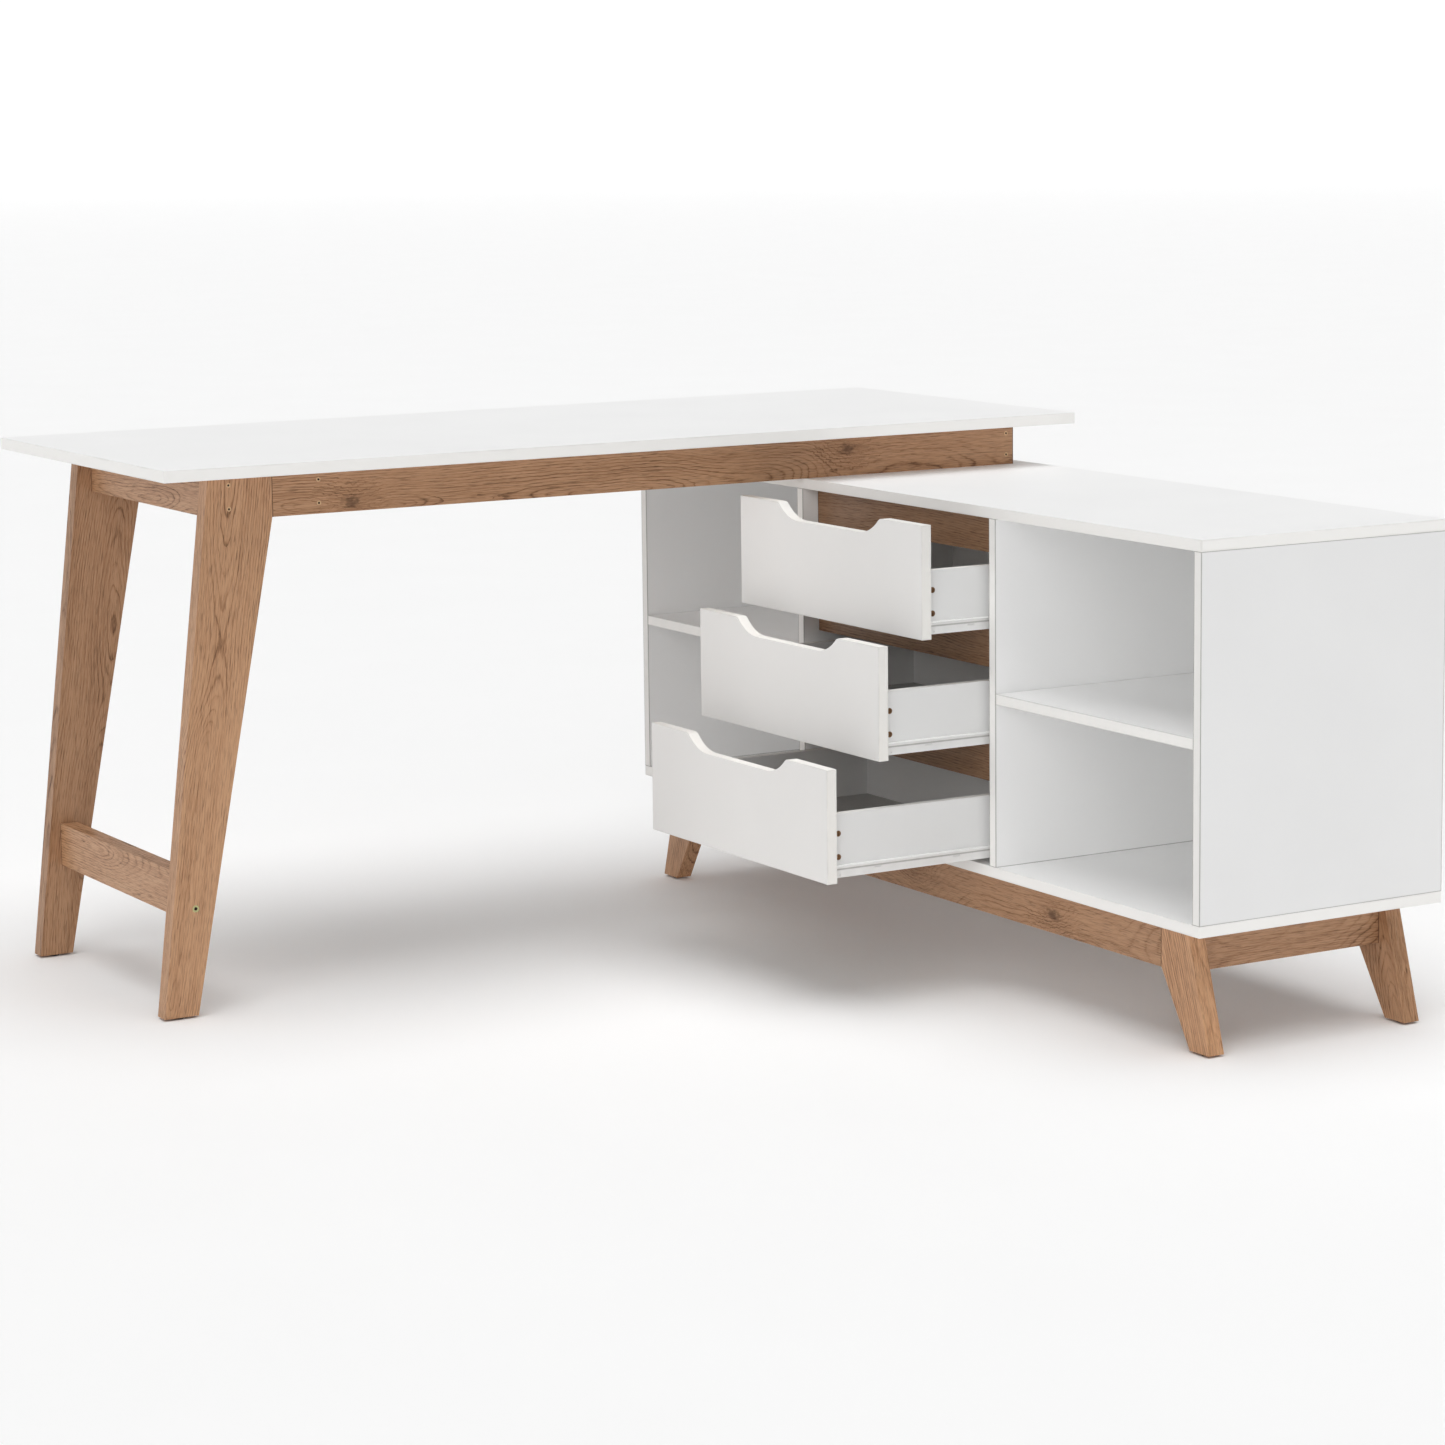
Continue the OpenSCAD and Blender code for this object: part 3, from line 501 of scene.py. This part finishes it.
def hardboard_material(name, seed):
    """Grey lacquered hardboard with a faint pressed-fibre mottle."""
    material, graph, shader = new_material(name)
    place = graph.plus(object_place(graph), (seed, seed * 0.7, seed * 0.4))
    mottle = graph.noise(place, scale=160.0, detail=4.0, rough=0.7)
    cloud = graph.noise(place, scale=7.0, detail=2.0)
    colour = graph.blend(mottle, (0.500, 0.490, 0.475), (0.620, 0.610, 0.595))
    colour = graph.mix(graph.product(cloud, 0.35), colour, (0.46, 0.45, 0.44, 1))
    colour_surface(graph, shader, colour, graph.span(mottle, 0.2, 0.8, 0.45, 0.65))
    bump(graph, shader, mottle, 0.00008, 0.6)
    return material


def metal_material(name, light, dark, rough, metallic=1.0):
    """Plated or painted metal with a fine speckle and slow tarnish: its dark places are the
    rougher ones."""
    material, graph, shader = new_material(name)
    place = object_place(graph)
    speckle = graph.noise(place, scale=SPECKLE, detail=3.0, rough=0.65)
    tarnish = graph.noise(place, scale=55.0, detail=3.0)
    polish = graph.scaled(speckle, 0.5, graph.product(tarnish, 0.5))
    roughness = graph.span(polish, 0.3, 0.7, rough + ROUGH_REACH, rough)
    colour_surface(graph, shader, graph.blend(polish, dark, light), roughness)
    shader.inputs["Metallic"].default_value = metallic
    bump(graph, shader, speckle, METAL_BUMP, 0.5)
    return material


def bolt_material(name, light, dark, low, high):
    """Plated bolts that face the planes y = low and y = high: below the face of the head, inside
    the socket, the plating is darkened with painted shade."""
    material, graph, shader = new_material(name)
    place = object_place(graph)
    speckle = graph.noise(place, scale=SPECKLE, detail=3.0, rough=0.65)
    depth = graph.less(graph.dot(place, Y), low)
    back_depth = graph.less(high, graph.dot(place, Y))
    # Painted shade in the socket, below the face of the head
    socket = graph.span(graph.smaller(depth, back_depth), *SOCKET_DEPTH)
    colour = graph.mix(socket, graph.blend(speckle, dark, light), SOCKET_SHADE_TONE)
    colour_surface(graph, shader, colour, graph.span(speckle, 0.3, 0.7, 0.42, 0.30))
    shader.inputs["Metallic"].default_value = 0.5
    bump(graph, shader, speckle, METAL_BUMP, 0.5)
    return material


def runner_material(name, top):
    """White enamel on a rolled-steel drawer runner whose upper flange is at height top: painted
    shade darkens a line just under the flange and a groove line below it."""
    material, graph, shader = new_material(name)
    place = object_place(graph)
    cloud = graph.noise(place, scale=60.0, detail=3.0)
    peel = graph.noise(place, scale=SPECKLE, detail=2.0)
    below = graph.less(top, graph.parts(place)[2])
    seam_shade, groove_shade = (
        graph.product(graph.span(below, *rise), graph.span(below, *fall))
        for rise, fall in (SEAM_SHADE, GROOVE_SHADE)
    )
    # Painted shade under the flange and in the groove
    shade = graph.larger(groove_shade, graph.product(seam_shade, SEAM_STRENGTH))
    colour = graph.blend(cloud, (0.87, 0.87, 0.86), (0.92, 0.92, 0.91))
    colour = graph.mix(graph.product(shade, SHADE_STRENGTH), colour, PAINTED_SHADE_TONE)
    colour_surface(graph, shader, colour, graph.span(peel, 0.2, 0.8, 0.26, 0.36))
    bump(graph, shader, peel, 0.00004, 0.5)
    return material


def plastic_material(name, light, dark, rough):
    """Moulded plastic with a fine spark-eroded texture and slight clouding."""
    material, graph, shader = new_material(name)
    place = object_place(graph)
    grain = graph.noise(place, scale=2400.0, detail=2.0)
    cloud = graph.noise(place, scale=40.0, detail=3.0)
    roughness = graph.span(grain, 0.2, 0.8, rough, rough + ROUGH_REACH)
    colour_surface(graph, shader, graph.blend(cloud, dark, light), roughness)
    bump(graph, shader, grain, 0.00003, 0.6)
    return material


def dowel_material():
    """Plain beech with short flecks along the dowel."""
    material, graph, shader = new_material("beech_dowel")
    place = object_place(graph)
    fleck = graph.noise(graph.times(place, (240.0, 240.0, 60.0)), detail=3.0)
    colour = graph.blend(fleck, (0.55, 0.37, 0.21), (0.74, 0.56, 0.37))
    colour_surface(graph, shader, colour, graph.span(fleck, 0.2, 0.8, 0.55, 0.72))
    bump(graph, shader, fleck, 0.0001, 0.5)
    return material


# ---- Putting materials and soft edges on the frame's pieces ---------------------------------

WELD_GAP = 0.00001
ARRIS_ANGLE = math.radians(40)
# Width of the rounding in metres and number of its steps
WOOD_ARRIS = (0.0012, 3)
WHITE_ARRIS = (0.0007, 2)
METAL_ARRIS = (0.0002, 1)

LEG_LEAN = Vector((105.5, 0, 731)).normalized()
NEAR_LEAN = Vector((0, 53.5, 160)).normalized()
FAR_LEAN = Vector((0, -53.5, 160)).normalized()
# Direction of the grain, direction across the wide face, and lightness, which is partly the board's
# own tone and partly painted shade. A board's place in this list is also the number that picks its
# figure.
WOOD_BOARDS = {
    "front_apron": (X, Z, 0.82),
    "back_apron": (X, Z, 0.84),
    "leg_stretcher": (Y, Z, 0.88),
    "end_cross_rail": (Y, Z, 0.86),
    "front_leg": (LEG_LEAN, X, 0.91),
    "back_leg": (LEG_LEAN, X, 0.73),
    "leg_top_rail": (Y, Z, 0.82),
    "inner_cross_rail": (Y, Z, 0.86),
    "bay_rails": (Y, Z, 0.60),
    "base_long_rails": (Y, Z, 0.78),
    "far_back_cabinet_leg": (FAR_LEAN, Y, 0.84),
    "near_front_cabinet_leg": (NEAR_LEAN, Y, 1.01),
    "near_back_cabinet_leg": (NEAR_LEAN, Y, 0.77),
    "far_front_cabinet_leg": (FAR_LEAN, Y, 0.84),
    "base_short_rails": (X, Z, 0.76),
}
# Places of knots along and across a board, from its middle
KNOTS = {
    "front_apron": ((-0.487, -0.017), (0.31, 0.008)),
    "base_long_rails": ((-0.02, 0.01), (-0.36, -0.006)),
    "bay_rails": ((0.12, 0.10),),
}
PLAIN = (1.0, 1.0, 1.0)
# The side panels' and drawer sides' grey tints are painted shade; the drawer fronts' tint is a
# little warmth and partly painted shade
SIDE_PANEL_SHADE = (0.94, 0.94, 0.94)
FRONT_WARMTH_AND_SHADE = (0.938, 0.931, 0.918)
DRAWER_SIDE_SHADE = (0.85, 0.85, 0.846)
# How dark the painted shade line along a white board's arrises is
NO_SHADE_LINE = 0.0
SHELF_SHADE_LINE = 0.3
PANEL_SHADE_LINE = 0.75
# Direction of the thickness, strength of the painted shade line at its joints, and tint; the greyer
# tints are painted shade
WHITE_BOARDS = {
    "desk_top": (Z, NO_SHADE_LINE, PLAIN),
    "cabinet_top": (Z, NO_SHADE_LINE, PLAIN),
    "cabinet_bottom": (Z, NO_SHADE_LINE, PLAIN),
    "near_side_panel": (Y, PANEL_SHADE_LINE, SIDE_PANEL_SHADE),
    "far_side_panel": (Y, PANEL_SHADE_LINE, SIDE_PANEL_SHADE),
    "near_divider": (Y, PANEL_SHADE_LINE, PLAIN),
    "far_divider": (Y, PANEL_SHADE_LINE, PLAIN),
    "near_shelf": (Z, SHELF_SHADE_LINE, PLAIN),
    "far_shelf": (Z, SHELF_SHADE_LINE, PLAIN),
    "back_panels": (X, NO_SHADE_LINE, PLAIN),
}
for drawer in DRAWERS:
    WHITE_BOARDS[f"{drawer}_drawer_front"] = (X, NO_SHADE_LINE, FRONT_WARMTH_AND_SHADE)
    WHITE_BOARDS[f"{drawer}_drawer_sides"] = (Y, NO_SHADE_LINE, DRAWER_SIDE_SHADE)
    WHITE_BOARDS[f"{drawer}_drawer_back"] = (X, NO_SHADE_LINE, PLAIN)


def dress(node, material):
    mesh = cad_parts[node].data
    mesh.materials.clear()
    mesh.materials.append(material)


def soften(node, width, segments):
    """Rounds a piece's arrises. The mesh itself stays as it is."""
    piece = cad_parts[node]
    weld = piece.modifiers.new("weld", "WELD")
    weld.merge_threshold = WELD_GAP
    bevel = piece.modifiers.new("arris", "BEVEL")
    bevel.width = width
    bevel.segments = segments
    bevel.limit_method = "ANGLE"
    bevel.angle_limit = ARRIS_ANGLE
    bevel.harden_normals = True
    bevel.use_clamp_overlap = True


def dress_boards():
    for seed, (node, (along, across, tone)) in enumerate(WOOD_BOARDS.items(), 1):
        low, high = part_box(node)
        knots = KNOTS.get(node, ())
        dress(node, wood_material(f"oak_{node}", low, high, along, across, seed, tone, knots))
        soften(node, *WOOD_ARRIS)
    for seed, (node, (thin, painted_joint_shade, tint_and_shade)) in enumerate(WHITE_BOARDS.items(), 1):
        low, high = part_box(node)
        dress(node, melamine_material(f"melamine_{node}", low, high, thin, seed, painted_joint_shade, tint_and_shade))
        soften(node, *WHITE_ARRIS)
    for seed, drawer in enumerate(DRAWERS, 1):
        dress(f"{drawer}_drawer_bottom", hardboard_material(f"hardboard_{drawer}", seed))


def dress_hardware():
    enamel = metal_material(
        "white_enamel", (0.88, 0.88, 0.87), (0.84, 0.84, 0.83), 0.28, metallic=0.0
    )
    bronze = metal_material("dark_bronze", (0.36, 0.215, 0.12), (0.20, 0.115, 0.065), 0.34)
    faces = [[corner.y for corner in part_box(node)] for node in ("frame_bolts", "stretcher_bolts")]
    copper = bolt_material("copper_brown", (0.74, 0.50, 0.29), (0.54, 0.34, 0.19), *faces[0])
    yellow = bolt_material("yellow_zinc", (0.56, 0.54, 0.26), (0.40, 0.40, 0.19), *faces[1])
    zinc = metal_material("bright_zinc", (0.66, 0.67, 0.69), (0.50, 0.51, 0.54), 0.30)
    nylon = plastic_material("natural_nylon", (0.78, 0.78, 0.74), (0.70, 0.70, 0.66), 0.38)
    black = plastic_material("black_glide", (0.035, 0.035, 0.036), (0.02, 0.02, 0.02), 0.5)
    hardware = {
        "cabinet_runners": enamel,
        "frame_bolts": copper,
        "stretcher_bolts": yellow,
        "fixing_brackets": zinc,
        "bracket_screws": zinc,
        "base_screws": zinc,
        "shelf_pins": zinc,
        "leg_glides": black,
        "cabinet_glides": black,
        "wood_dowels": dowel_material(),
    }
    for drawer in DRAWERS:
        runner_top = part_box(f"{drawer}_drawer_runners")[1].z
        hardware[f"{drawer}_drawer_runners"] = runner_material(f"runner_{drawer}", runner_top)
        hardware[f"{drawer}_drawer_fasteners"] = bronze
        hardware[f"{drawer}_front_rollers"] = nylon
        hardware[f"{drawer}_rear_rollers"] = nylon
    for node, material in hardware.items():
        dress(node, material)
        soften(node, *METAL_ARRIS)


# ---- Floor, light and camera ---------------------------------------------------------------

FLOOR_FLAT = 40.0
FLOOR_REACH = 52.0
FLOOR_RISE = 8.0
FLOOR_SPOKES = 96
FLOOR_RINGS = 12
FLOOR_ROUGH = 0.7
FLOOR_SPECULAR = 0.1

SKY_STRENGTH = 0.12
# Name, direction in which the light travels, strength and spread in degrees
SUNS = (
    ("key_left", (0.70, 0.65, -0.30), 1.10, 50),
    ("overhead", (0.05, 0.1, -1.0), 2.13, 60),
    ("back_fill", (-0.62, -0.55, -0.56), 0.45, 90),
)

# Fitted to the photograph's corners, in metres, radians and millimetres of lens
CAMERA_PLACE = Vector((-2.6944, -4.6463, 1.2546))
CAMERA_YAW = 0.5453
CAMERA_PITCH = 0.1455
CAMERA_ROLL = -0.0101
FOCAL_LENGTH = 97.79
SENSOR = 36.0
SHIFT = (-0.040, -0.050)
CLIP_START = 0.1
CLIP_END = 500.0

MAX_BOUNCES = 16
DIFFUSE_BOUNCES = 10


def make_floor():
    """A flat white studio floor that curves up into a low wall far away on every side."""
    verts = [(0, 0, 0)]
    for ring in range(FLOOR_RINGS + 1):
        part = ring / FLOOR_RINGS
        reach = FLOOR_FLAT + (FLOOR_REACH - FLOOR_FLAT) * math.sin(part * math.pi / 2)
        rise = FLOOR_RISE * (1 - math.cos(part * math.pi / 2))
        for spoke in range(FLOOR_SPOKES):
            turn = math.tau * spoke / FLOOR_SPOKES
            verts.append((reach * math.cos(turn), reach * math.sin(turn), rise))
    faces = []
    for spoke in range(FLOOR_SPOKES):
        after = (spoke + 1) % FLOOR_SPOKES
        faces.append((0, 1 + spoke, 1 + after))
        for ring in range(FLOOR_RINGS):
            low = 1 + ring * FLOOR_SPOKES
            high = low + FLOOR_SPOKES
            faces.append((low + spoke, high + spoke, high + after, low + after))
    mesh = bpy.data.meshes.new("floor")
    mesh.from_pydata(verts, [], faces)
    mesh.shade_smooth()
    floor = bpy.data.objects.new("floor", mesh)
    bpy.context.scene.collection.objects.link(floor)
    material, graph, shader = new_material("pale_floor")
    cloud = graph.noise(object_place(graph), scale=3.0, detail=3.0)
    tones = graph.blend(cloud, (0.965, 0.965, 0.965), (0.975, 0.975, 0.975))
    colour_surface(graph, shader, tones, FLOOR_ROUGH)
    shader.inputs["Specular IOR Level"].default_value = FLOOR_SPECULAR
    mesh.materials.append(material)


def soft_sun(name, towards, strength, spread):
    """A large soft source far away: its light travels along towards."""
    data = bpy.data.lights.new(name, "SUN")
    data.energy = strength
    data.angle = math.radians(spread)
    light = bpy.data.objects.new(name, data)
    light.rotation_euler = Vector(towards).to_track_quat("-Z", "Y").to_euler()
    bpy.context.scene.collection.objects.link(light)


def make_light():
    world = bpy.data.worlds.new("studio")
    world.use_nodes = True
    sky = world.node_tree.nodes["Background"]
    sky.inputs["Color"].default_value = (1.0, 1.0, 1.0, 1)
    sky.inputs["Strength"].default_value = SKY_STRENGTH
    bpy.context.scene.world = world
    for sun in SUNS:
        soft_sun(*sun)


def make_camera():
    data = bpy.data.cameras.new("camera")
    data.lens = FOCAL_LENGTH
    data.sensor_width = SENSOR
    data.shift_x, data.shift_y = SHIFT
    data.clip_start = CLIP_START
    data.clip_end = CLIP_END
    camera = bpy.data.objects.new("camera", data)
    ahead = Vector(
        (
            math.sin(CAMERA_YAW) * math.cos(CAMERA_PITCH),
            math.cos(CAMERA_YAW) * math.cos(CAMERA_PITCH),
            -math.sin(CAMERA_PITCH),
        )
    )
    right = Vector((math.cos(CAMERA_YAW), -math.sin(CAMERA_YAW), 0))
    up = right.cross(ahead)
    turn = (math.cos(CAMERA_ROLL), math.sin(CAMERA_ROLL))
    tilted_right = right * turn[0] + up * turn[1]
    tilted_up = up * turn[0] - right * turn[1]
    axes = Matrix((tilted_right, tilted_up, -ahead)).transposed()
    camera.matrix_world = Matrix.Translation(CAMERA_PLACE) @ axes.to_4x4()
    bpy.context.scene.collection.objects.link(camera)
    bpy.context.scene.camera = camera


make_camera()
make_floor()
make_light()
dress_boards()
dress_hardware()
bpy.context.scene.view_settings.view_transform = "Standard"
bpy.context.scene.cycles.max_bounces = MAX_BOUNCES
bpy.context.scene.cycles.diffuse_bounces = DIFFUSE_BOUNCES
